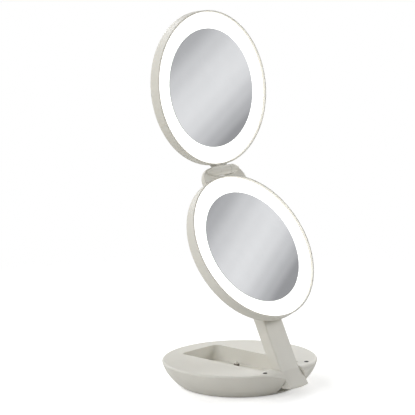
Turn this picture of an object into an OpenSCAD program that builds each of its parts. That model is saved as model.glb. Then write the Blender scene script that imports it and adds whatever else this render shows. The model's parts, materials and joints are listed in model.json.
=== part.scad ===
// Folding vanity mirror: a round base, an arm that folds into it, and two lit round mirrors that
// fold face to face. Origin: middle of the foot ring. X runs along the hinges, -Y faces the user.

/* [Base] */
// Diameter at the rim
base_d = 127; // [122:1:150]
// Height of the base
base_h = 21.2; // [20:0.1:26]
// Edge of the flat underneath, in from the rim
foot_in = 15.7; // [11.5:0.1:17.5]
// How far the side bulges beyond a straight cone
bowl_bulge = 2.4; // [2.2:0.1:4.5]
// Wall of the bowl
base_wall = 2.4; // [2:0.1:3]
// Thickness of the deck
deck_t = 2; // [1.6:0.1:2.4]
// Rounding of the rim
rim_r = 1.6; // [1:0.1:2.5]
// Width of the recess that takes the arm and the pivot plate
channel_w = 42.8; // [41:0.2:46]
// Gap round the folded pivot plate at the recess's far end
plate_gap = 0.4; // [0.3:0.1:2]
// Depth of the recess
channel_depth = 12.8; // [12:0.1:14]

/* [Arm] */
// Fold hinge, in from the rim
fold_in = 10.5; // [9.5:0.1:12]
// Fold hinge below the deck
fold_drop = 8.6; // [8.2:0.1:9.2]
// Arm length, hinge to hinge
arm_len = 80.5; // [78:0.5:90]
// Width of the arm
arm_w = 21.9; // [18:0.1:24]
// Front face ahead of the hinge line
arm_front = 5.3; // [5:0.1:6]
// Back face behind the hinge line
arm_back = 4.2; // [3.8:0.1:5]
// Wall of the arm
arm_wall = 1.7; // [1.4:0.1:2]
// Turn from open to folded
fold_angle = 61; // [55:0.1:65]

/* [Mirrors] */
// Diameter of a mirror's shell
disc_d = 125.2; // [116:0.2:150]
// Thickness of a mirror's shell
disc_t = 10.6; // [9.8:0.1:13]
// Diameter of the glass
glass_d = 96.2; // [86:0.2:104]
// Width of the front lip
lip_w = 1.3; // [1:0.1:3]
// Glass and light ring behind the lip's edge
face_recess = 2; // [0.6:0.1:2.4]
// Lean of the lower mirror in use
lower_lean = 31; // [29:0.5:45]
// How far the upper mirror is swung forward of straight
upper_forward = 23.5; // [5:0.5:60]
// Mirror hinge above the middle of a mirror, beyond the shell's edge
hinge_out = 4.6; // [4.4:0.1:7]

/* [Pivot] */
// Tilt hinge behind the back of the lower mirror
pivot_back = 6.1; // [6:0.1:8]
// Radius of the pivot plate
plate_r = 19; // [17:0.5:20]
// Thickness of the pivot plate
plate_t = 2.2; // [1.8:0.1:2.4]
// Gap left under the folded mirrors
stack_gap = 2; // [1.5:0.1:4]

/* [Lights] */
// Lamps behind each ring
lamps = 24; // [12:1:36]

/* [Fits] */
// Gap between pieces that move past each other
run_gap = 0.3; // [0.25:0.05:0.5]
// Radial clearance of a pin that turns
pin_gap = 0.05; // [0.02:0.01:0.08]
// Radial clearance of a pin that is held
held_gap = 0.02; // [0:0.01:0.05]

/* [Hidden] */
$fn = 96;
eps = 0.01;
big = 200;

rim = base_d / 2;
fold_out = rim - fold_in;
fold_z = base_h - fold_drop;
foot = rim - foot_in;
seam_z = base_h - rim_r;
bowl_base = 0.5;
ledge_z = bowl_base + 3.6;
// the side is one arc from the foot to the seam
chord = [rim - foot, seam_z];
chord_l = norm(chord);
bowl_r = chord_l * chord_l / (8 * bowl_bulge) + bowl_bulge / 2;
arc_mid = [(rim + foot) / 2, seam_z / 2];
arc_in = [-chord[1], chord[0]] / chord_l * (bowl_r - bowl_bulge);
bowl_c = arc_mid + arc_in;

cover_t = 2;
cover_r = foot - 2.5;
ring_in = cover_r - 6;
ring_out = cover_r - 2;
channel_floor = base_h - channel_depth;
channel_wall = 1.8;
skirt_r = rim - base_wall - 1.2;
skirt_t = 1.4;
skirt_h = 2.5;

fold_y = -fold_out;
lug_r = fold_drop;
lug_in = arm_w / 2 + 0.5;
lug_out = channel_w / 2 + channel_wall;
lug_back = 8;
pocket_r = fold_drop + 1;
pin_r = 2;
pin_end = lug_in + 3.4;
eye_r = 5.3;

rise = asin((base_h + stack_gap - pivot_back - fold_z) / arm_len);
arm_lean = 90 - fold_angle - rise;
pivot_drop = arm_len * cos(rise) - fold_out;
channel_end = pivot_drop + plate_r + plate_gap;
channel_round = 5;

arm_edge = 1.5;
head_y = arm_len - 22.5;
head_front = 2.9;
tongue_r = 3.5;
tongue_w = 12;
tilt_pin_r = 1.75;
shoulder_y = arm_len - 5.6;
crease_y = 6;
tail_gap = 0.3;
tail_lip = 1.9;
// the tail's face rises from the crease to the rim when the arm is folded
rim_dy = (fold_out - rim) * cos(rise) + (base_h - fold_z) * sin(rise);
rim_dz = (base_h - fold_z) * cos(rise) - (fold_out - rim) * sin(rise);
kick = atan((rim_dz - arm_front) / (crease_y - rim_dy));
flare = 1.6;
hollow_y0 = 9;
hollow_y1 = head_y - 2;
cover_z = arm_back - arm_wall;

ear_r = 4.6;
ear_in = tongue_w / 2 + run_gap;
ear_out = arm_w / 2;
plate_back = pivot_back - run_gap - plate_t;
spigot_r = 8;
boss_h = 3.2;
spigot_top = pivot_back + boss_h + 0.1;
swivel_ring_r = 12;
swivel_ring_t = 1.2;
striker_r = 1.2;
ring_screw = [5, -2.5];
lead_hole = [0, 5.2];
lead_hole_r = 1.8;

disc_r = disc_d / 2;
glass_r = glass_d / 2;
glass_t = 1.8;
light_t = 1.6;
back_wall = 1.8;
back_round = 3;
lip_round = 0.5;
side_wall = 2;
shelf_w = lip_w + 1.5;
shelf_t = 1.2;
seat = face_recess + light_t;
carrier_t = 1.2;
carrier_z = face_recess + glass_t;
baffle_r = glass_r - 0.6;
baffle_t = 1.5;
inner_z = disc_t - back_wall;
led_in = glass_r + 2.5;
led_out = disc_r - shelf_w - 0.4;
led_z = inner_z - 1.3;
led_t = 1;
lamp_size = [3.2, 2.4, 0.8];

hinge_up = disc_r + hinge_out;
hinge_fwd = 0.3;
barrel_r = 4;
barrel_w = 12.2;
notch_w = barrel_w + 0.5;
ear_w = 25;
ear_taper = 9.5;
ear_round = 14;
ear_end = 17.5;
hump_w = 48;
hump_front = -0.4;
hump_back = -6;
hinge_pin_r = 1.5;
sleeve_r = 2.4;

switch_at = [arm_w / 2 + 2.25, 16];
plunger_r = 1.6;
plunger_top = channel_floor + 4.4;
// with the mirrors folded, a peg on the plate stops just short of the switch's plunger
striker_end = plunger_top + run_gap - (fold_z + arm_len * sin(rise));
collar_r = 2.3;
collar_h = 2.4;
button_r = 4.2;
button_z = 12.6;
cell_r = 7.1;
cell_l = 50;
cell_x = channel_w / 2 + channel_wall + cell_r + 0.5;
cell_z = bowl_base + cover_t + cell_r + 0.4;
pad_at = [25, fold_y + 2.3];
pad_r = 1.7;
pad_h = 0.3;
boss_r = 3;
screw_r = 1.25;
board_t = 1.2;
board_gap = 0.4;
key_h = 1.4;
key_gap = 1.2;
board_y = channel_end + channel_wall + board_gap;
button_y = board_y + board_t + key_h + key_gap;
screw_at = [[15.5, 32.5], [-15.5, 32.5], [15.5, -32.5], [-15.5, -32.5]];

shell_color = [0.87, 0.85, 0.81];
dark = [0.12, 0.12, 0.12];
steel = [0.72, 0.72, 0.74];
light_color = [1, 1, 1];

// ---- places: in each, x runs along the hinge, y up the piece and z towards the user
module on_fold() translate([0, fold_y, fold_z]) children();
module on_arm() on_fold() rotate([90 - arm_lean, 0, 0]) children();
module on_pivot() on_arm() translate([0, arm_len, 0]) rotate([arm_lean - lower_lean, 0, 0]) children();
module on_lower() on_pivot() translate([0, pivot_drop, pivot_back + disc_t]) children();
module on_upper()
  on_lower() translate([0, hinge_up, hinge_fwd]) rotate([upper_forward, 0, 0])
    translate([0, hinge_up, -hinge_fwd]) children();
// what is drawn in base coordinates with the arm folded, carried to where the arm stands
module from_folded()
  on_fold() rotate([fold_angle, 0, 0]) translate([0, fold_out, -fold_z]) children();

// ---- shared shapes
module along_x(w) rotate([90, 0, 90]) linear_extrude(w, center = true) children();
module along_y(y0, y1) translate([0, y1, 0]) rotate([90, 0, 0]) linear_extrude(y1 - y0) children();
module rod(r, w) rotate([0, 90, 0]) cylinder(r = r, h = w, center = true);
module ring(r0, r1, z0, z1) {
  translate([0, 0, z0]) difference() {
    cylinder(r = r1, h = z1 - z0);
    translate([0, 0, -1]) cylinder(r = r0, h = z1 - z0 + 2);
  }
}
module slab(x0, x1, y0, y1, z0, z1) translate([x0, y0, z0]) cube([x1 - x0, y1 - y0, z1 - z0]);
module both() {
  children();
  mirror([1, 0, 0]) children();
}
module screw(r, l, head_r, head_h) {
  cylinder(r = r, h = l, $fn = 24);
  difference() {
    translate([0, 0, -head_h]) cylinder(r = head_r, h = head_h, $fn = 24);
    for (a = [0, 90]) rotate([0, 0, a])
      translate([-head_r * 0.6, -0.25, -head_h - 1]) cube([head_r * 1.2, 0.5, 1 + head_h / 2]);
  }
}

// ---- base
// the bowl's outer form, drawn in by inset, from z0 to z1
module bowl_form(inset, z0, z1) {
  rotate_extrude($fn = 128) intersection() {
    union() {
      square([bowl_c[0], z1]);
      translate(bowl_c) circle(r = bowl_r - inset, $fn = 192);
    }
    translate([0, z0]) square([big, z1 - z0]);
  }
}
module rim_form() {
  rotate_extrude($fn = 128) {
    translate([0, seam_z]) square([rim - rim_r, rim_r]);
    intersection() {
      translate([rim - rim_r, seam_z]) circle(r = rim_r, $fn = 48);
      translate([0, seam_z]) square([big, rim_r]);
    }
  }
}
// what the front of the rim loses so that it rounds over the hinge
module front_trim() {
  difference() {
    slab(-big, big, -big, fold_y, fold_z, base_h + 10);
    on_fold() rod(lug_r, big * 3);
  }
}
// the way for the arm's eye and tail
module arm_slot() {
  on_fold() rod(pocket_r, lug_in * 2);
  slab(-lug_in, lug_in, -big, fold_y, fold_z, base_h + 10);
  slab(-lug_in, lug_in, -big, fold_y - 6, fold_z - tail_lip - 0.6, base_h + 10);
  slab(-lug_in, lug_in, fold_y, fold_y + lug_back + 1, fold_z, base_h + 10);
}
module at_screws(z) {
  for (p = screw_at) translate([p[0], p[1], z]) children();
}
module base_bowl() {
  color(shell_color) difference() {
    bowl_form(0, bowl_base, seam_z);
    bowl_form(base_wall, ledge_z, seam_z + 1);
    translate([0, 0, -1]) cylinder(r = cover_r - 1.8, h = 8);
    translate([0, 0, -1]) cylinder(r = cover_r + 0.1, h = 1 + bowl_base + cover_t);
    front_trim();
    arm_slot();
    translate([0, rim - 12, button_z]) rotate([-90, 0, 0]) cylinder(r = button_r + run_gap, h = 20);
  }
}
module deck_form() {
  rim_form();
  ring(skirt_r - skirt_t, skirt_r, seam_z - skirt_h, base_h - deck_t);
}
module channel_form(grow, z0, z1) {
  w = channel_w / 2 + grow;
  end = channel_end + grow;
  round = channel_round + grow;
  translate([0, 0, z0]) linear_extrude(z1 - z0) {
    translate([-w, fold_y + lug_back]) square([w * 2, end - round - fold_y - lug_back]);
    translate([round - w, fold_y + lug_back]) square([(w - round) * 2, end - fold_y - lug_back]);
    for (s = [-1, 1]) translate([s * (w - round), end - round]) circle(r = round);
  }
}
module lugs() {
  intersection() {
    both() difference() {
      union() {
        translate([(lug_in + lug_out) / 2, fold_y, fold_z]) rod(lug_r, lug_out - lug_in);
        slab(lug_in, lug_out, fold_y, fold_y + lug_back, fold_z - lug_r, base_h);
        slab(lug_in, lug_out, fold_y - lug_r, fold_y, fold_z - lug_r, fold_z);
      }
      on_fold() rod(pin_r + held_gap, (pin_end + 0.1) * 2);
    }
    union() {
      bowl_form(base_wall + 0.1, ledge_z, seam_z);
      rim_form();
    }
  }
}
module base_deck() {
  color(shell_color) difference() {
    union() {
      difference() {
        union() {
          difference() {
            deck_form();
            translate([0, 0, seam_z - skirt_h - 1])
              cylinder(r = skirt_r - skirt_t, h = skirt_h + 1 + rim_r - deck_t);
          }
          channel_form(channel_wall, channel_floor - channel_wall, base_h);
          at_screws(bowl_base + cover_t) cylinder(r = boss_r, h = channel_floor - bowl_base - cover_t - 1);
          both() slab(9, 12, channel_end, board_y, 9, 15);
        }
        channel_form(0, channel_floor, base_h + 1);
        slab(-channel_w / 2, channel_w / 2, fold_y - 12, fold_y + lug_back + 0.5, -1, base_h + 1);
      }
      lugs();
    }
    front_trim();
    both() translate([pad_at[0], pad_at[1], base_h - 1.2]) cylinder(r = pad_r + 0.1, h = 2, $fn = 32);
    at_screws(0) cylinder(r = screw_r, h = channel_floor - 1, $fn = 24);
    translate([switch_at[0], switch_at[1], 0]) cylinder(r = collar_r + 0.1, h = channel_floor + 1, $fn = 32);
    slab(-6, 6, fold_y + lug_back - 2, fold_y + lug_back + 4, channel_floor - 5, channel_floor - 0.8);
  }
}
module bottom_cover() {
  color(shell_color) difference() {
    union() {
      translate([0, 0, bowl_base]) cylinder(r = cover_r, h = cover_t);
      intersection() {
        both() for (s = [-1, 1]) translate([cell_x, s * (cell_l / 2 + 2.3), (cell_z + 3) / 2 + 1])
          cube([cell_r * 2, 1.4, cell_z + 3 - 2], center = true);
        cylinder(r = cover_r - 2.1, h = 30);
      }
    }
    both() door(0.15, -1, bowl_base + cover_t + 1);
    ring(ring_in - 0.05, ring_out + 0.05, -1, bowl_base + 0.7);
    at_screws(-1) cylinder(r = screw_r + 0.3, h = 9, $fn = 24);
    at_screws(-1) cylinder(r = screw_r + 1.1, h = bowl_base + 2, $fn = 24);
    both() slab(8, 18, -6, -4, -1, 5);
  }
}
module door(grow, z0, z1) {
  intersection() {
    slab(cell_x - cell_r - 0.5 - grow, cell_x + cell_r + 0.5 + grow, -cell_l / 2 - grow,
      cell_l / 2 + grow, z0, z1);
    translate([0, 0, -1]) cylinder(r = ring_in - 1.2 + grow, h = 20);
  }
}
module battery_doors() {
  color(shell_color) both() difference() {
    door(0, bowl_base + 0.1, bowl_base + cover_t - 0.1);
    for (i = [-2:2]) translate([cell_x - 4, -cell_l / 2 + 5 + i * 1.4, bowl_base - 0.5])
      cube([8, 0.7, 1]);
  }
}
module foot_ring() {
  color(dark) ring(ring_in, ring_out, 0, bowl_base + 0.7);
}
module battery_cells() {
  color([0.3, 0.32, 0.34]) both() translate([cell_x, 0, cell_z]) rotate([90, 0, 0]) {
    translate([0, 0, -cell_l / 2 + 0.6]) cylinder(r = cell_r, h = cell_l - 1.8);
    translate([0, 0, cell_l / 2 - 1.2]) cylinder(r = 2.6, h = 1);
  }
}
module battery_contacts() {
  color(steel) both() for (s = [-1, 1]) {
    translate([cell_x - 5, s * (cell_l / 2 + 1.3) - 0.25, cell_z - 5]) cube([10, 0.5, 8]);
    translate([cell_x, s * (cell_l / 2 + 0.6), cell_z]) rotate([90, 0, 0])
      cylinder(r = 3, h = 1.2, center = true, $fn = 32);
  }
}
module control_board() {
  y1 = board_y + board_t;
  color([0.1, 0.35, 0.2]) {
    slab(-11, 11, board_y, y1, ledge_z + 1.6, 17);
    translate([0, y1, button_z]) rotate([-90, 0, 0]) cylinder(r = 2.2, h = key_h, $fn = 32);
    slab(-10, -5, y1, y1 + 1.5, 8, 11.5);
    slab(5.5, 10, y1, y1 + 1.2, 9, 13);
  }
}
module base_screws() {
  color(steel) at_screws(bowl_base + 1) screw(screw_r - 0.02, 5.5, screw_r + 1, 0.9);
}
module deck_pads() {
  color(dark) both() translate([pad_at[0], pad_at[1], base_h - 1.2])
    cylinder(r = pad_r, h = 1.2 + pad_h, $fn = 32);
}
module fold_pin() {
  color(steel) on_fold() rod(pin_r, pin_end * 2);
}
module fold_washers() {
  color(steel) both() on_fold() translate([(arm_w / 2 + lug_in) / 2, 0, 0]) rotate([0, 90, 0])
    translate([0, 0, -0.2]) difference() {
      cylinder(r = 4.6, h = 0.4);
      translate([0, 0, -1]) cylinder(r = pin_r + held_gap, h = 3);
    }
}
module auto_switch() {
  color(dark) difference() {
    union() {
      translate([switch_at[0], switch_at[1], channel_floor - channel_wall - 0.1])
        cylinder(r = collar_r, h = channel_wall + 0.1 + collar_h, $fn = 32);
      slab(switch_at[0] - 3, switch_at[0] + 3, switch_at[1] - 3, switch_at[1] + 3,
        bowl_base + cover_t, channel_floor - channel_wall);
    }
    translate([switch_at[0], switch_at[1], bowl_base + cover_t + 1])
      cylinder(r = plunger_r + pin_gap, h = 20, $fn = 32);
  }
}
module switch_plunger() {
  color(shell_color) translate([switch_at[0], switch_at[1], 0]) {
    translate([0, 0, bowl_base + cover_t + 2.5])
      cylinder(r = plunger_r, h = plunger_top - 0.6 - bowl_base - cover_t - 2.5, $fn = 32);
    translate([0, 0, plunger_top - 0.6 - eps])
      cylinder(r1 = plunger_r, r2 = plunger_r - 0.6, h = 0.6, $fn = 32);
  }
}
module power_button() {
  color(shell_color) translate([0, button_y, button_z]) rotate([-90, 0, 0]) {
    cylinder(r = button_r, h = rim - 1.4 - button_y);
    cylinder(r = button_r + 0.4, h = 0.7);
  }
}

// ---- arm
module arm_section(front, back, r) {
  w = arm_w / 2;
  translate([-w + r, -back]) square([arm_w - 2 * r, front + back]);
  translate([-w, -back]) square([arm_w, front + back - r]);
  for (s = [-1, 1]) translate([s * (w - r), front - r]) circle(r = r, $fn = 32);
}
// the tail fills the slot in the bowl when folded, and its face carries on to the rim
module tail() {
  intersection() {
    from_folded() union() {
      bowl_form(0, 0, seam_z);
      rim_form();
    }
    on_arm() along_x(arm_w) polygon([
      [crease_y, arm_front], [crease_y - 40, arm_front + 40 * tan(kick)],
      [crease_y - 40, -20], [crease_y, -20]
    ]);
    from_folded() union() {
      on_fold() rod(pocket_r - tail_gap, big);
      slab(-big, big, -big, fold_y, fold_z - tail_lip, base_h + 5);
      slab(-big, big, fold_y - 1, fold_y + crease_y + 3, fold_z, base_h + 5);
    }
  }
}
// the tail's outer edge is a little wider than the arm
module tail_flare() {
  intersection() {
    from_folded() difference() {
      rim_form();
      translate([0, 0, seam_z - 1]) cylinder(r = rim - 4.5, h = 10);
    }
    on_arm() along_x(arm_w + 2 * flare) polygon([
      [-5, arm_front], [-5 - 30, arm_front + 30 * tan(kick)], [-35, -20], [-5, -20]
    ]);
    on_arm() along_x(arm_w + 2 * flare) polygon([
      [-5, arm_front + (crease_y + 5) * tan(kick) + eps], [-40, arm_front + (crease_y + 40) * tan(kick)],
      [-40, -20], [-5, -20]
    ]);
  }
}
module tail_hollow() {
  from_folded() difference() {
    intersection() {
      bowl_form(2.4, 0, base_h - 4.2);
      slab(-arm_w / 2 + arm_wall, arm_w / 2 - arm_wall, -big, fold_y - 1, 0, base_h);
    }
    on_fold() rod(eye_r + 0.2, big);
  }
}
module arm_shell() {
  color(shell_color) difference() {
    union() {
      on_arm() {
        along_y(0, head_y) arm_section(arm_front, arm_back, arm_edge);
        along_y(head_y - 1, shoulder_y) arm_section(head_front, arm_back, arm_edge);
        rod(eye_r, arm_w);
        translate([0, arm_len, 0]) rod(tongue_r, tongue_w);
        slab(-tongue_w / 2, tongue_w / 2, shoulder_y - 1, arm_len, -tongue_r, head_front);
      }
      tail();
      tail_flare();
    }
    tail_hollow();
    on_arm() {
      difference() {
        slab(-arm_w / 2 + arm_wall, arm_w / 2 - arm_wall, hollow_y0, hollow_y1,
          -arm_back - 1, arm_front - arm_wall);
        for (y = [hollow_y0 + 7, hollow_y1 - 7]) translate([0, y, -cover_z])
          cylinder(r = boss_r, h = 20, $fn = 32);
      }
      for (y = [hollow_y0 + 7, hollow_y1 - 7]) translate([0, y, -arm_back - 1])
        cylinder(r = screw_r, h = arm_back + 1 + 2, $fn = 24);
      slab(-2, 2, hollow_y1 - 1, arm_len - tongue_r - 0.5, -1.4, 1.4);
      rod(pin_r + pin_gap, arm_w + 4);
      translate([0, arm_len, 0]) rod(tilt_pin_r + held_gap, tongue_w + 4);
    }
  }
}
module arm_cover() {
  color(shell_color) on_arm() difference() {
    union() {
      slab(-arm_w / 2 + arm_wall + 0.1, arm_w / 2 - arm_wall - 0.1, hollow_y0 + 0.1, hollow_y1 - 0.1,
        -arm_back, -cover_z);
      both() slab(arm_w / 2 - arm_wall - 1.3, arm_w / 2 - arm_wall - 0.1, hollow_y0 + 12, hollow_y1 - 12,
        -cover_z - eps, -cover_z + 1.6);
    }
    for (y = [hollow_y0 + 7, hollow_y1 - 7]) translate([0, y, -arm_back - 1]) {
      cylinder(r = screw_r + 0.2, h = 10, $fn = 24);
      cylinder(r = screw_r + 1.1, h = 2, $fn = 24);
    }
  }
}
module arm_screws() {
  color(steel) on_arm() for (y = [hollow_y0 + 7, hollow_y1 - 7]) translate([0, y, -arm_back + 0.95])
    screw(screw_r - 0.02, 5, screw_r + 1, 0.9);
}
module arm_lead() {
  color(dark) on_arm() slab(-1.6, 1.6, hollow_y0 + 11, hollow_y1 - 11, arm_front - arm_wall - 1,
    arm_front - arm_wall);
}
module tilt_pin() {
  color(steel) on_arm() translate([0, arm_len, 0]) rod(tilt_pin_r, ear_out * 2 - 0.4);
}

// ---- pivot
module pivot_bracket() {
  color(shell_color) on_pivot() difference() {
    union() {
      translate([0, 0, plate_back]) cylinder(r = plate_r, h = plate_t);
      translate([0, 0, plate_back]) cylinder(r = spigot_r, h = spigot_top - plate_back);
      both() translate([(ear_in + ear_out) / 2, 0, 0]) {
        rod(ear_r, ear_out - ear_in);
        translate([0, 0, plate_back / 2 + 0.2])
          cube([ear_out - ear_in, ear_r * 2, plate_back + 0.4], center = true);
      }
      both() slab(ear_out - 1.6, ear_out, ear_r - 1, 13, plate_back - 1.4, plate_back + 0.4);
      translate([switch_at[0], switch_at[1] - pivot_drop, striker_end])
        cylinder(r = striker_r, h = plate_back + 0.4 - striker_end, $fn = 32);
    }
    rod(tilt_pin_r + pin_gap, arm_w + 10);
    translate([lead_hole[0], lead_hole[1], 0]) cylinder(r = lead_hole_r, h = 30, $fn = 24);
    both() translate([ring_screw[0], ring_screw[1], plate_back + 1.2]) cylinder(r = 0.8, h = 30, $fn = 24);
  }
}
module swivel_washer() {
  color(steel) on_pivot() ring(spigot_r + 1, plate_r - 2, pivot_back - run_gap + 0.03, pivot_back - 0.07);
}
module swivel_ring() {
  color(dark) on_pivot() difference() {
    translate([0, 0, spigot_top]) cylinder(r = swivel_ring_r, h = swivel_ring_t);
    translate([lead_hole[0], lead_hole[1], 0]) cylinder(r = lead_hole_r, h = 30, $fn = 24);
    both() translate([ring_screw[0], ring_screw[1], 0]) cylinder(r = 0.85, h = 30, $fn = 24);
  }
}
module ring_screws() {
  color(steel) on_pivot() both() translate([ring_screw[0], ring_screw[1], spigot_top + swivel_ring_t])
    mirror([0, 0, 1]) screw(0.78, 5, 1.6, 0.7);
}

// ---- mirrors, drawn with z = 0 at the front lip
module shell_profile() {
  back = -disc_t;
  difference() {
    union() {
      translate([0, back]) square([disc_r - back_round, disc_t]);
      translate([0, back + back_round]) square([disc_r, disc_t - back_round - lip_round]);
      translate([0, back + back_round]) square([disc_r - lip_round, disc_t - back_round]);
      translate([disc_r - back_round, back + back_round]) circle(r = back_round, $fn = 64);
      translate([disc_r - lip_round, -lip_round]) circle(r = lip_round, $fn = 32);
    }
    translate([-1, -seat]) square([disc_r - lip_w + 1, seat + 1]);
    translate([-1, -inner_z]) square([disc_r - shelf_w + 1, inner_z + 1]);
    translate([-1, -inner_z]) square([disc_r - side_wall + 1, inner_z - seat - shelf_t]);
  }
}
module mirror_shell() {
  rotate_extrude($fn = 128) shell_profile();
  ring(baffle_r - baffle_t, baffle_r, -inner_z, -carrier_z - carrier_t);
  for (i = [0:5]) rotate([0, 0, 30 + i * 60])
    slab(led_in, led_out + 1.5, -0.6, 0.6, -inner_z - 0.1, -led_z);
}
module mirror_carrier() {
  color([0.8, 0.8, 0.8]) translate([0, 0, -carrier_z - carrier_t]) cylinder(r = glass_r + 1.8, h = carrier_t);
}
module mirror_glass() {
  color([0.8, 0.82, 0.85]) translate([0, 0, -carrier_z]) cylinder(r = glass_r, h = glass_t);
}
module mirror_diffuser() {
  color(light_color) ring(glass_r + 0.08, disc_r - lip_w - 0.12, -seat, -face_recess);
}
module led_board() {
  color([0.92, 0.92, 0.9]) ring(led_in, led_out, -led_z, -led_z + led_t);
}
module led_lamps() {
  color([0.98, 0.93, 0.7]) for (i = [0:lamps - 1]) rotate([0, 0, i * 360 / lamps])
    translate([(led_in + led_out) / 2, 0, -led_z + led_t + lamp_size[2] / 2]) cube(lamp_size, center = true);
}
// the shoulder that carries the two hinge ears, rounded front and back
module hump_edge(x0, x1) {
  front = 1.4;
  back = 2.4;
  difference() {
    translate([x0, hump_back]) square([x1 - x0, hump_front - hump_back]);
    translate([x1 - front, hump_front - front]) square(front + 1);
    translate([x1 - back, hump_back - 1]) square(back + 1);
  }
  translate([x1 - front, hump_front - front]) circle(r = front, $fn = 48);
  translate([x1 - back, hump_back + back]) circle(r = back, $fn = 48);
}
// an ear keeps the barrel's radius beside the notch and tapers off along the shoulder
module ear_form() {
  rotate([0, 90, 0]) rotate_extrude() intersection() {
    translate([0, 2]) square([barrel_r, ear_end - 2]);
    union() {
      square([barrel_r, ear_taper]);
      translate([barrel_r - ear_round, ear_taper]) circle(r = ear_round, $fn = 128);
    }
  }
}
module hump() {
  flank = 12.5;
  top = hinge_up + barrel_r;
  at = [hump_w / 2 - flank, top - flank];
  difference() {
    union() {
      both() translate(at) rotate_extrude() hump_edge(0, flank);
      along_x(at[0] * 2) hump_edge(at[1] - 6, top);
      both() translate([0, hinge_up, hinge_fwd]) ear_form();
    }
    translate([0, 0, -disc_t - 1]) cylinder(r = disc_r - 1.2, h = disc_t + 10);
  }
}
module lower_housing() {
  color(shell_color) on_lower() difference() {
    union() {
      mirror_shell();
      hump();
      translate([0, -pivot_drop, -inner_z - 0.1]) cylinder(r = spigot_r + 3, h = boss_h - back_wall + 0.1);
    }
    translate([0, -pivot_drop, -disc_t - 1]) cylinder(r = spigot_r + pin_gap, h = 10);
    translate([0, hinge_up, hinge_fwd]) {
      rod(hinge_pin_r + held_gap, ear_w - 3);
      slab(-notch_w / 2, notch_w / 2, -barrel_r - run_gap, big, -big, big);
    }
  }
}
module upper_housing() {
  y = -hinge_up;
  z = hinge_fwd;
  color(shell_color) on_upper() difference() {
    union() {
      mirror_shell();
      difference() {
        union() {
          translate([0, y, z]) rod(barrel_r, barrel_w);
          along_x(barrel_w) polygon([
            [-disc_r + 3, -0.6], [y, -0.6], [y - barrel_r * 0.62, z - barrel_r * 0.78],
            [y + 0.5, z - barrel_r], [-disc_r, -disc_t + 2.6], [-disc_r + 3, -disc_t + 2.6]
          ]);
        }
        translate([0, 0, -disc_t - 1]) cylinder(r = disc_r - 1.2, h = disc_t + 10);
      }
    }
    translate([0, y, z]) rod(sleeve_r, barrel_w + 2);
  }
}
module hinge_pin() {
  color(steel) on_lower() translate([0, hinge_up, hinge_fwd]) rod(hinge_pin_r, ear_w - 3.2);
}
module hinge_sleeve() {
  color(steel) on_upper() translate([0, -hinge_up, hinge_fwd]) rotate([0, 90, 0])
    translate([0, 0, -barrel_w / 2 + 0.2]) difference() {
      cylinder(r = sleeve_r - held_gap, h = barrel_w - 0.4);
      translate([0, 0, -1]) cylinder(r = hinge_pin_r + pin_gap, h = barrel_w + 2);
    }
}
module lower_carrier() on_lower() mirror_carrier();
module lower_glass() on_lower() mirror_glass();
module lower_diffuser() on_lower() mirror_diffuser();
module lower_led_ring() on_lower() led_board();
module lower_leds() on_lower() led_lamps();
module upper_carrier() on_upper() mirror_carrier();
module upper_glass() on_upper() mirror_glass();
module upper_diffuser() on_upper() mirror_diffuser();
module upper_led_ring() on_upper() led_board();
module upper_leds() on_upper() led_lamps();

base_bowl();
base_deck();
bottom_cover();
battery_doors();
foot_ring();
battery_cells();
battery_contacts();
control_board();
base_screws();
deck_pads();
fold_pin();
fold_washers();
auto_switch();
switch_plunger();
power_button();
arm_shell();
arm_cover();
arm_screws();
arm_lead();
tilt_pin();
pivot_bracket();
swivel_washer();
swivel_ring();
ring_screws();
lower_housing();
lower_carrier();
lower_glass();
lower_diffuser();
lower_led_ring();
lower_leds();
hinge_pin();
upper_housing();
upper_carrier();
upper_glass();
upper_diffuser();
upper_led_ring();
upper_leds();
hinge_sleeve();
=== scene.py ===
import json
from math import cos, pi, radians, sin

import bmesh
import bpy
from mathutils import Matrix, Vector


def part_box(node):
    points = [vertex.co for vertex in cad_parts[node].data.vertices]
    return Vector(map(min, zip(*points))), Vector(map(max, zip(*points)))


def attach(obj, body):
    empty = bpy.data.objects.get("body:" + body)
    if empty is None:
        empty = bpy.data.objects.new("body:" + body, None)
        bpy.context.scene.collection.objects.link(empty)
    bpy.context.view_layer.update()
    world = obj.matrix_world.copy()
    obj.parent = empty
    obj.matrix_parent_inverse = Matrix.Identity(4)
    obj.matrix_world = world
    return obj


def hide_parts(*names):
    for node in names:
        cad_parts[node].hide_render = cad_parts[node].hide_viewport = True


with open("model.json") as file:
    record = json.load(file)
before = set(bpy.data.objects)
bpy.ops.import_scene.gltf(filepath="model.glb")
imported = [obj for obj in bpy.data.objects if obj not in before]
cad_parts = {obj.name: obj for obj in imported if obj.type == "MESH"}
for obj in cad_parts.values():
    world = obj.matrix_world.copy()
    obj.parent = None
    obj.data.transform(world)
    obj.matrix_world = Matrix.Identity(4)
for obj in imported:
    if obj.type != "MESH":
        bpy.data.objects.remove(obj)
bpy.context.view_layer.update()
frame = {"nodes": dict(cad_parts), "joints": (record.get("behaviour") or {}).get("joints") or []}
nodes = frame["nodes"]
mm = 0.001
bevelSamples = 6
print("frame loaded:", len(nodes), "nodes")


# small helpers for the materials
def startMaterial(name):
    material = bpy.data.materials.new(name)
    material.use_nodes = True
    tree = material.node_tree
    tree.nodes.clear()
    output = tree.nodes.new("ShaderNodeOutputMaterial")
    shader = tree.nodes.new("ShaderNodeBsdfPrincipled")
    tree.links.new(shader.outputs["BSDF"], output.inputs["Surface"])
    place = tree.nodes.new("ShaderNodeTexCoord").outputs["Object"]
    return material, tree, shader, place


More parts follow.
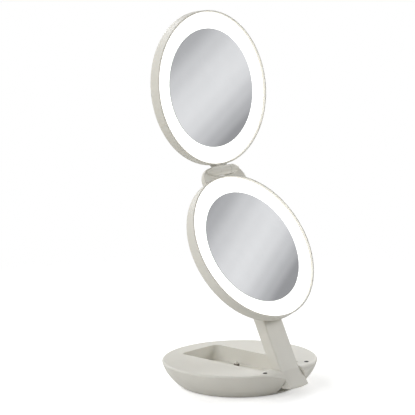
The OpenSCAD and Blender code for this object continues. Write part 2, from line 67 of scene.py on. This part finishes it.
def addNoise(tree, place, scale, detail=3.0, roughness=0.5):
    noise = tree.nodes.new("ShaderNodeTexNoise")
    noise.inputs["Scale"].default_value = scale
    noise.inputs["Detail"].default_value = detail
    noise.inputs["Roughness"].default_value = roughness
    tree.links.new(place, noise.inputs["Vector"])
    return noise.outputs["Fac"]


def mixColours(tree, factor, first, second, low=0.35, high=0.65):
    ramp = tree.nodes.new("ShaderNodeValToRGB")
    ramp.color_ramp.elements[0].position = low
    ramp.color_ramp.elements[0].color = (*first, 1)
    ramp.color_ramp.elements[1].position = high
    ramp.color_ramp.elements[1].color = (*second, 1)
    tree.links.new(factor, ramp.inputs["Fac"])
    return ramp.outputs["Color"]


def mapValue(tree, factor, low, high, fromLow=0.3, fromHigh=0.7):
    mapper = tree.nodes.new("ShaderNodeMapRange")
    mapper.inputs["From Min"].default_value = fromLow
    mapper.inputs["From Max"].default_value = fromHigh
    mapper.inputs["To Min"].default_value = low
    mapper.inputs["To Max"].default_value = high
    tree.links.new(factor, mapper.inputs["Value"])
    return mapper.outputs["Result"]


def addBump(tree, shader, height, distance, strength, edge=0.0):
    bump = tree.nodes.new("ShaderNodeBump")
    bump.inputs["Distance"].default_value = distance
    bump.inputs["Strength"].default_value = strength
    tree.links.new(height, bump.inputs["Height"])
    if edge:
        bevel = tree.nodes.new("ShaderNodeBevel")  # the small radius a mould leaves on every edge
        bevel.samples = bevelSamples
        bevel.inputs["Radius"].default_value = edge
        tree.links.new(bevel.outputs["Normal"], bump.inputs["Normal"])
    tree.links.new(bump.outputs["Normal"], shader.inputs["Normal"])


# finishes, one dictionary each
shellFinish = {
    "light": (0.665, 0.652, 0.602),
    "deep": (0.64, 0.625, 0.574),
    "cloudScale": 26,
    "speckScale": 900,
    "grainScale": 2600,
    "grainDepth": 0.03 * mm,
    "grainStrength": 0.05,
    "edge": 0.35 * mm,
    "roughness": (0.42, 0.50),
    "glowThrough": 0.06,
    "glowReach": (0.9 * mm, 0.7 * mm, 0.5 * mm),
}


def shellPlastic(name, finish):
    material, tree, shader, place = startMaterial(name)
    cloud = addNoise(tree, place, finish["cloudScale"], detail=4)
    colour = mixColours(tree, cloud, finish["deep"], finish["light"])
    tree.links.new(colour, shader.inputs["Base Color"])
    speck = addNoise(tree, place, finish["speckScale"], detail=2)
    tree.links.new(mapValue(tree, speck, *finish["roughness"]), shader.inputs["Roughness"])
    grain = addNoise(tree, place, finish["grainScale"], detail=2)
    addBump(tree, shader, grain, finish["grainDepth"], finish["grainStrength"], finish["edge"])
    shader.inputs["Subsurface Weight"].default_value = finish["glowThrough"]
    shader.inputs["Subsurface Radius"].default_value = finish["glowReach"]
    shader.inputs["Subsurface Scale"].default_value = 1.0
    return material


rubberFinish = {
    "light": (0.048, 0.044, 0.040),
    "deep": (0.030, 0.028, 0.026),
    "dustScale": 220,
    "grainScale": 3200,
    "grainDepth": 0.04 * mm,
    "grainStrength": 0.2,
    "edge": 0.2 * mm,
    "roughness": (0.62, 0.78),
}


def softRubber(name, finish):
    material, tree, shader, place = startMaterial(name)
    dust = addNoise(tree, place, finish["dustScale"], detail=5, roughness=0.6)
    tree.links.new(mixColours(tree, dust, finish["deep"], finish["light"]), shader.inputs["Base Color"])
    tree.links.new(mapValue(tree, dust, *finish["roughness"]), shader.inputs["Roughness"])
    grain = addNoise(tree, place, finish["grainScale"])
    addBump(tree, shader, grain, finish["grainDepth"], finish["grainStrength"], finish["edge"])
    return material


steelFinish = {
    "light": (0.60, 0.60, 0.61),
    "deep": (0.47, 0.47, 0.48),
    "stretch": (0.08, 1, 1),
    "streakScale": 2400,
    "streakDepth": 0.01 * mm,
    "streakStrength": 0.15,
    "edge": 0.1 * mm,
    "roughness": (0.22, 0.38),
}


def turnedSteel(name, finish):
    material, tree, shader, place = startMaterial(name)
    stretch = tree.nodes.new("ShaderNodeMapping")  # drawn out along the pins
    stretch.inputs["Scale"].default_value = finish["stretch"]
    tree.links.new(place, stretch.inputs["Vector"])
    streak = addNoise(tree, stretch.outputs["Vector"], finish["streakScale"], detail=3)
    tree.links.new(mixColours(tree, streak, finish["deep"], finish["light"]), shader.inputs["Base Color"])
    tree.links.new(mapValue(tree, streak, *finish["roughness"]), shader.inputs["Roughness"])
    addBump(tree, shader, streak, finish["streakDepth"], finish["streakStrength"], finish["edge"])
    shader.inputs["Metallic"].default_value = 1
    return material


silverFinish = {
    "light": (0.80, 0.81, 0.825),
    "deep": (0.785, 0.795, 0.81),
    "hazeScale": 60,
    "roughness": (0.012, 0.03),
}


def silveredGlass(name, finish):
    material, tree, shader, place = startMaterial(name)
    haze = addNoise(tree, place, finish["hazeScale"], detail=4, roughness=0.6)
    tree.links.new(mixColours(tree, haze, finish["deep"], finish["light"]), shader.inputs["Base Color"])
    tree.links.new(mapValue(tree, haze, *finish["roughness"]), shader.inputs["Roughness"])
    shader.inputs["Metallic"].default_value = 1
    return material


glassEdgeFinish = {
    "light": (0.56, 0.61, 0.59),
    "deep": (0.42, 0.49, 0.46),
    "grindScale": 1500,
    "grindDepth": 0.02 * mm,
    "grindStrength": 0.2,
    "roughness": (0.08, 0.2),
}


def groundGlass(name, finish):
    material, tree, shader, place = startMaterial(name)
    grind = addNoise(tree, place, finish["grindScale"], detail=3)
    tree.links.new(mixColours(tree, grind, finish["deep"], finish["light"]), shader.inputs["Base Color"])
    tree.links.new(mapValue(tree, grind, *finish["roughness"]), shader.inputs["Roughness"])
    addBump(tree, shader, grind, finish["grindDepth"], finish["grindStrength"])
    return material


opalFinish = {
    "light": (0.95, 0.95, 0.94),
    "deep": (0.90, 0.90, 0.89),
    "cloudScale": 45,
    "grainScale": 2000,
    "grainDepth": 0.01 * mm,
    "grainStrength": 0.1,
    "glowColour": (1, 0.995, 0.985),
    "glow": 1.25,
    "roughness": (0.40, 0.52),
}


def opalDiffuser(name, finish):
    material, tree, shader, place = startMaterial(name)
    cloud = addNoise(tree, place, finish["cloudScale"], detail=3)
    tree.links.new(mixColours(tree, cloud, finish["deep"], finish["light"]), shader.inputs["Base Color"])
    tree.links.new(mapValue(tree, cloud, *finish["roughness"]), shader.inputs["Roughness"])
    grain = addNoise(tree, place, finish["grainScale"])
    addBump(tree, shader, grain, finish["grainDepth"], finish["grainStrength"])
    shader.inputs["Emission Color"].default_value = (*finish["glowColour"], 1)
    shader.inputs["Emission Strength"].default_value = finish["glow"]
    return material


plainGrain = {"scale": 2400, "depth": 0.02 * mm, "strength": 0.12, "edge": 0.15 * mm}
darkFinish = {
    "light": (0.085, 0.064, 0.050),
    "deep": (0.060, 0.044, 0.034),
    "mottleScale": 400,
    "roughness": (0.42, 0.55),
}
carrierFinish = {
    "light": (0.66, 0.66, 0.65),
    "deep": (0.60, 0.60, 0.59),
    "mottleScale": 400,
    "roughness": (0.45, 0.6),
}
jacketFinish = {
    "light": (0.13, 0.14, 0.16),
    "deep": (0.10, 0.11, 0.13),
    "mottleScale": 90,
    "roughness": (0.25, 0.35),
}
boardFinish = {
    "light": (0.018, 0.09, 0.045),
    "deep": (0.012, 0.07, 0.035),
    "mottleScale": 700,
    "roughness": (0.3, 0.45),
}
lampFinish = {
    "light": (0.86, 0.74, 0.30),
    "deep": (0.80, 0.66, 0.22),
    "mottleScale": 900,
    "roughness": (0.3, 0.4),
}
ledBoardFinish = {
    "light": (0.78, 0.78, 0.76),
    "deep": (0.72, 0.72, 0.70),
    "mottleScale": 500,
    "roughness": (0.4, 0.5),
}


def plainPlastic(name, finish):
    material, tree, shader, place = startMaterial(name)
    mottle = addNoise(tree, place, finish["mottleScale"], detail=4)
    tree.links.new(mixColours(tree, mottle, finish["deep"], finish["light"]), shader.inputs["Base Color"])
    tree.links.new(mapValue(tree, mottle, *finish["roughness"]), shader.inputs["Roughness"])
    grain = addNoise(tree, place, plainGrain["scale"])
    addBump(tree, shader, grain, plainGrain["depth"], plainGrain["strength"], plainGrain["edge"])
    return material


stone = shellPlastic("stonePlastic", shellFinish)
rubber = softRubber("blackRubber", rubberFinish)
steel = turnedSteel("turnedSteel", steelFinish)
silver = silveredGlass("silveredGlass", silverFinish)
glassEdge = groundGlass("groundGlassEdge", glassEdgeFinish)
opal = opalDiffuser("opalDiffuser", opalFinish)
darkPlastic = plainPlastic("darkPlastic", darkFinish)
paleCarrier = plainPlastic("paleCarrier", carrierFinish)
cellJacket = plainPlastic("cellJacket", jacketFinish)
boardGreen = plainPlastic("boardGreen", boardFinish)
lampYellow = plainPlastic("lampYellow", lampFinish)
ledWhite = plainPlastic("ledBoardWhite", ledBoardFinish)

nodeFinishes = {
    stone: ["base_bowl", "base_deck", "bottom_cover", "battery_doors", "switch_plunger", "power_button",
            "arm_shell", "arm_cover", "pivot_bracket", "lower_housing", "upper_housing"],
    rubber: ["foot_ring", "deck_pads", "arm_lead"],
    steel: ["battery_contacts", "base_screws", "fold_pin", "fold_washers", "arm_screws", "tilt_pin",
            "swivel_washer", "ring_screws", "hinge_pin", "hinge_sleeve"],
    darkPlastic: ["auto_switch", "swivel_ring"],
    paleCarrier: ["lower_carrier", "upper_carrier"],
    silver: ["lower_glass", "upper_glass"],
    opal: ["lower_diffuser", "upper_diffuser"],
    cellJacket: ["battery_cells"],
    boardGreen: ["control_board"],
    ledWhite: ["lower_led_ring", "upper_led_ring"],
    lampYellow: ["lower_leds", "upper_leds"],
}
for finish, names in nodeFinishes.items():
    for name in names:
        slots = nodes[name].data.materials
        slots.clear()
        slots.append(finish)
print("finishes on", sum(len(n) for n in nodeFinishes.values()), "nodes")


# turned pieces: pane and light ring in each mirror's tilted frame, then the foot ring
foldJoint = next(j for j in frame["joints"] if j["name"] == "upper_fold")
swivelJoint = next(j for j in frame["joints"] if j["name"] == "mirror_swivel")
lowerNormal = Vector(swivelJoint["axis"])
forwardTurn = Matrix.Rotation(-radians(foldJoint["range_deg"][1]), 3, Vector(foldJoint["axis"]))
faceNormals = {"lower": lowerNormal, "upper": forwardTurn @ lowerNormal}


def frameAt(centre, normal, side=Vector((1, 0, 0))):
    up = normal.cross(side)
    turn = Matrix((side, up, normal)).transposed()
    return Matrix.Translation(centre) @ turn.to_4x4()


def boxCentre(node):
    lowest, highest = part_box(node)
    return (Vector(lowest) + Vector(highest)) / 2


def ringSize(node, place):
    inverse = place.inverted()
    points = [inverse @ v.co for v in nodes[node].data.vertices]
    radii = [p.xy.length for p in points]
    heights = [p.z for p in points]
    return min(radii), max(radii), min(heights), max(heights)


def lathe(name, outline, place, finishes, closed=False, turns=160, crease=28):
    mesh = bmesh.new()
    circles = []
    for radius, height, _ in outline:
        spots = turns if radius else 1
        circles.append([mesh.verts.new(place @ Vector((radius * cos(2 * pi * k / turns),
                        radius * sin(2 * pi * k / turns), height))) for k in range(spots)])
    following = circles[1:] + (circles[:1] if closed else [])
    for (_, _, finish), inner, outer in zip(outline, circles, following):
        for k in range(turns):
            corners = [inner[k % len(inner)], outer[k % len(outer)],
                       outer[(k + 1) % turns % len(outer)], inner[(k + 1) % turns % len(inner)]]
            face = mesh.faces.new(list(dict.fromkeys(corners)))
            face.smooth = True
            face.material_index = finish
    bmesh.ops.recalc_face_normals(mesh, faces=mesh.faces[:])
    data = bpy.data.meshes.new(name)
    mesh.to_mesh(data)
    mesh.free()
    data.set_sharp_from_angle(angle=radians(crease))
    for finish in finishes:
        data.materials.append(finish)
    piece = bpy.data.objects.new(name, data)
    bpy.context.scene.collection.objects.link(piece)
    return piece


paneSizes = {"bevelWidth": 0.3 * mm, "bevelDrop": 0.1 * mm, "arris": 0.12 * mm, "crease": 6}


def makePane(side, sizes):
    node = side + "_glass"
    place = frameAt(boxCentre(node), faceNormals[side])
    _, radius, back, front = ringSize(node, place)
    shoulder = front - sizes["bevelDrop"]
    outline = [(0, front, 0), (radius - sizes["bevelWidth"], front, 0),
               (radius - sizes["arris"], shoulder, 1), (radius, shoulder - sizes["arris"], 1),
               (radius, back + sizes["arris"], 1), (radius - sizes["arris"], back, 1), (0, back, 1)]
    pane = lathe(side + "MirrorPane", outline, place, [silver, glassEdge], crease=sizes["crease"])
    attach(pane, side + "_mirror")
    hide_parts(node)


ringSizes = {"crown": 0.45 * mm, "steps": 14, "power": 4}


def makeLightRing(side, sizes):
    node = side + "_diffuser"
    place = frameAt(boxCentre(node), faceNormals[side])
    inner, outer, back, front = ringSize(node, place)
    outline = [(inner, back, 0)]
    for k in range(sizes["steps"] + 1):
        across = k / sizes["steps"]
        drop = sizes["crown"] * abs(2 * across - 1) ** sizes["power"]
        outline.append((inner + across * (outer - inner), front - drop, 0))
    outline.append((outer, back, 0))
    ring = lathe(side + "LightRing", outline, place, [opal], closed=True)
    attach(ring, side + "_mirror")
    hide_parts(node)


for side in faceNormals:
    makePane(side, paneSizes)
    makeLightRing(side, ringSizes)

footSizes = {"grooves": 3, "grooveDepth": 0.35 * mm, "grooveSlope": 0.25, "edge": 0.3 * mm}


def makeFootRing(sizes):
    centre = boxCentre("foot_ring")
    place = frameAt(centre, Vector((0, 0, 1)))
    inner, outer, low, high = ringSize("foot_ring", place)
    outline = [(inner, high, 0), (inner, low + sizes["edge"], 0), (inner + sizes["edge"], low, 0)]
    pitch = (outer - inner - 2 * sizes["edge"]) / (2 * sizes["grooves"] + 1)
    slope = sizes["grooveSlope"]
    top = low + sizes["grooveDepth"]
    for k in range(sizes["grooves"]):
        start = inner + sizes["edge"] + (2 * k + 1) * pitch
        outline += [(start, low, 0), (start + slope * pitch, top, 0),
                    (start + (1 - slope) * pitch, top, 0), (start + pitch, low, 0)]
    outline += [(outer - sizes["edge"], low, 0), (outer, low + sizes["edge"], 0), (outer, high, 0)]
    foot = lathe("groovedFoot", outline, place, [rubber], closed=True)
    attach(foot, "base")
    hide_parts("foot_ring")


makeFootRing(footSizes)
print("panes, light rings and foot made")


# stage, lights and camera
floorLook = {
    "radius": 2.4,
    "corners": 96,
    "fadeFrom": 0.12,
    "fadeTo": 0.55,
    "colour": (0.86, 0.86, 0.86),
    "roughness": 0.7,
    "gloss": 0.1,
    "seenGlow": 0.42,
}


def makeFloor(look):
    bpy.ops.mesh.primitive_circle_add(vertices=look["corners"], radius=look["radius"], fill_type="NGON")
    floor = bpy.context.object
    floor.name = "floor"
    material, tree, shader, place = startMaterial("paleFloor")
    shader.inputs["Base Color"].default_value = (*look["colour"], 1)
    shader.inputs["Roughness"].default_value = look["roughness"]
    shader.inputs["Specular IOR Level"].default_value = look["gloss"]
    distance = tree.nodes.new("ShaderNodeVectorMath")
    distance.operation = "LENGTH"
    tree.links.new(place, distance.inputs[0])
    fade = mapValue(tree, distance.outputs["Value"], 1, 0, look["fadeFrom"], look["fadeTo"])
    below = tree.nodes.new("ShaderNodeNewGeometry").outputs["Backfacing"]
    alpha = tree.nodes.new("ShaderNodeMath")  # clear when seen from underneath
    alpha.operation = "MULTIPLY"
    tree.links.new(fade, alpha.inputs[0])
    tree.links.new(mapValue(tree, below, 1, 0, 0, 1), alpha.inputs[1])
    tree.links.new(alpha.outputs["Value"], shader.inputs["Alpha"])
    path = tree.nodes.new("ShaderNodeLightPath")
    glow = mapValue(tree, path.outputs["Is Camera Ray"], 0, look["seenGlow"], 0, 1)
    shader.inputs["Emission Color"].default_value = (1, 1, 1, 1)
    tree.links.new(glow, shader.inputs["Emission Strength"])
    floor.data.materials.append(material)


makeFloor(floorLook)

worldTones = {
    "seen": (1, 1, 1),
    "above": (0.06, 0.06, 0.06),
    "below": (0.565, 0.548, 0.495),
    "mirrored": (0.42, 0.425, 0.435),  # what shiny surfaces see overhead
    "height": 0.7,
}


def makeWorld(tones):
    world = bpy.data.worlds.new("studio")
    bpy.context.scene.world = world
    world.use_nodes = True
    tree = world.node_tree
    tree.nodes.clear()
    output = tree.nodes.new("ShaderNodeOutputWorld")
    seen = tree.nodes.new("ShaderNodeBackground")
    seen.inputs["Color"].default_value = (*tones["seen"], 1)
    lit = tree.nodes.new("ShaderNodeBackground")
    direction = tree.nodes.new("ShaderNodeTexCoord").outputs["Generated"]
    split = tree.nodes.new("ShaderNodeSeparateXYZ")
    tree.links.new(direction, split.inputs["Vector"])
    path = tree.nodes.new("ShaderNodeLightPath")
    height = split.outputs["Z"]
    shade = mixColours(tree, height, tones["below"], tones["above"], 0, tones["height"])
    gloss = mixColours(tree, height, tones["below"], tones["mirrored"], 0, tones["height"])
    choose = tree.nodes.new("ShaderNodeMix")
    choose.data_type = "RGBA"
    tree.links.new(path.outputs["Is Glossy Ray"], choose.inputs["Factor"])
    tree.links.new(shade, choose.inputs[6])  # the colour sockets of this node
    tree.links.new(gloss, choose.inputs[7])
    tree.links.new(choose.outputs[2], lit.inputs["Color"])
    mix = tree.nodes.new("ShaderNodeMixShader")
    tree.links.new(path.outputs["Is Camera Ray"], mix.inputs["Fac"])
    tree.links.new(lit.outputs["Background"], mix.inputs[1])
    tree.links.new(seen.outputs["Background"], mix.inputs[2])
    tree.links.new(mix.outputs["Shader"], output.inputs["Surface"])


makeWorld(worldTones)

softboxes = {
    "frontLeft": {"at": (-1.6, -0.2, 1.0), "size": (1.0, 1.0), "power": 12, "colour": (0.99, 0.992, 1)},
    "leftHigh": {"at": (-1.2, 0.9, 1.4), "size": (1.0, 1.0), "power": 12, "colour": (0.985, 0.99, 1)},
    "right": {"at": (1.2, -1.1, 0.8), "size": (0.8, 0.8), "power": 11, "colour": (0.985, 0.99, 1)},
    "rightBack": {"at": (1.4, 0.6, 0.7), "size": (0.8, 0.8), "power": 8, "colour": (0.985, 0.99, 1)},
    "back": {"at": (0.3, 1.6, 1.2), "size": (1.0, 1.0), "power": 13, "colour": (0.985, 0.99, 1)},
}


def makeSoftbox(name, box, aim=Vector((0, 0, 0.15))):
    light = bpy.data.lights.new(name, "AREA")
    light.shape = "RECTANGLE"
    light.size, light.size_y = box["size"]
    light.energy = box["power"]
    light.color = box["colour"]
    thing = bpy.data.objects.new(name, light)
    bpy.context.scene.collection.objects.link(thing)
    thing.location = box["at"]
    thing.rotation_euler = (aim - thing.location).to_track_quat("-Z", "Y").to_euler()


for name, box in softboxes.items():
    makeSoftbox(name, box)

cameraSetup = {
    "azimuth": -46.97,
    "elevation": 10.13,
    "distance": 1.6185,
    "aim": Vector((0, 0, 0.130)),
    "roll": -0.64,
    "focalPixels": 1999.4,
    "centre": (238.21, 226.80),
    "pixels": 415,
    "sensor": 36,
    "clip": (0.05, 50),
}


def makeCamera(setup):
    a, e, roll = (radians(setup[k]) for k in ("azimuth", "elevation", "roll"))
    back = Vector((sin(a) * cos(e), -cos(a) * cos(e), sin(e)))
    right = Vector((0, 0, 1)).cross(back).normalized()
    up = back.cross(right)
    rolledRight = cos(roll) * right + sin(roll) * up
    rolledUp = cos(roll) * up - sin(roll) * right
    data = bpy.data.cameras.new("camera")
    data.sensor_width = setup["sensor"]
    data.lens = setup["focalPixels"] / setup["pixels"] * data.sensor_width
    half = setup["pixels"] / 2
    data.shift_x = (half - setup["centre"][0]) / setup["pixels"]
    data.shift_y = (setup["centre"][1] - half) / setup["pixels"]
    data.clip_start, data.clip_end = setup["clip"]
    camera = bpy.data.objects.new("camera", data)
    bpy.context.scene.collection.objects.link(camera)
    turn = Matrix((rolledRight, rolledUp, back)).transposed()
    camera.matrix_world = Matrix.Translation(setup["aim"] + setup["distance"] * back) @ turn.to_4x4()
    bpy.context.scene.camera = camera
    return camera.matrix_world


cameraPlace = makeCamera(cameraSetup)

# what each mirror shows from the front: a soft panel 1 m away, brightest in a slanted band
panelSetup = {
    "away": 1.0,
    "half": 0.20,
    "fadeFrom": 0.13,
    "fadeTo": 0.19,
    "span": 0.09,
    "slant": {"lower": 0.63, "upper": 0.95},
    "tones": ((-0.079, 0.44), (-0.063, 0.53), (-0.039, 0.74), (-0.016, 0.88), (0.003, 0.925),
              (0.018, 0.87), (0.035, 0.71), (0.050, 0.55), (0.062, 0.38)),
    "coolest": 0.035,
}


def panelMaterial(name, slant, setup):
    material = bpy.data.materials.new(name)
    material.use_nodes = True
    tree = material.node_tree
    tree.nodes.clear()
    place = tree.nodes.new("ShaderNodeTexCoord").outputs["Object"]
    along = tree.nodes.new("ShaderNodeVectorMath")
    along.operation = "DOT_PRODUCT"
    along.inputs[1].default_value = Vector((1, -slant, 0)).normalized()
    tree.links.new(place, along.inputs[0])
    spread = mapValue(tree, along.outputs["Value"], 0, 1, -setup["span"], setup["span"])
    ramp = tree.nodes.new("ShaderNodeValToRGB")
    ramp.color_ramp.interpolation = "EASE"
    stops = ramp.color_ramp.elements
    for k, (distance, tone) in enumerate(setup["tones"]):
        position = (distance / setup["span"] + 1) / 2
        stop = stops[k] if k < len(stops) else stops.new(position)
        stop.position = position
        stop.color = (tone, tone, tone * (1 + setup["coolest"] * (1 - tone)), 1)
    tree.links.new(spread, ramp.inputs["Fac"])
    glow = tree.nodes.new("ShaderNodeEmission")
    tree.links.new(ramp.outputs["Color"], glow.inputs["Color"])
    clear = tree.nodes.new("ShaderNodeBsdfTransparent")
    reach = tree.nodes.new("ShaderNodeVectorMath")
    reach.operation = "LENGTH"
    tree.links.new(place, reach.inputs[0])
    mix = tree.nodes.new("ShaderNodeMixShader")
    fade = mapValue(tree, reach.outputs["Value"], 0, 1, setup["fadeFrom"], setup["fadeTo"])
    tree.links.new(fade, mix.inputs["Fac"])
    tree.links.new(glow.outputs["Emission"], mix.inputs[1])
    tree.links.new(clear.outputs["BSDF"], mix.inputs[2])
    output = tree.nodes.new("ShaderNodeOutputMaterial")
    tree.links.new(mix.outputs["Shader"], output.inputs["Surface"])
    return material


def makePanel(side, setup):
    centre = boxCentre(side + "_glass")
    normal = faceNormals[side]
    ahead = (centre - cameraPlace.translation).normalized()
    right, up, ray = (v - 2 * v.dot(normal) * normal
                      for v in (cameraPlace.col[0].xyz, cameraPlace.col[1].xyz, ahead))
    half = setup["half"]
    corners = [(-half, -half, 0), (half, -half, 0), (half, half, 0), (-half, half, 0)]
    data = bpy.data.meshes.new(side + "Panel")
    data.from_pydata(corners, [], [(0, 1, 2, 3)])
    data.materials.append(panelMaterial(side + "PanelGlow", setup["slant"][side], setup))
    panel = bpy.data.objects.new(side + "Panel", data)
    bpy.context.scene.collection.objects.link(panel)
    turn = Matrix((right, up, right.cross(up))).transposed()
    panel.matrix_world = Matrix.Translation(centre + setup["away"] * ray) @ turn.to_4x4()
    panel.visible_camera = False
    panel.visible_diffuse = False
    panel.visible_shadow = False
    panel.visible_transmission = False


for side in faceNormals:
    makePanel(side, panelSetup)
bpy.context.scene.view_settings.view_transform = "Standard"
print("stage ready")
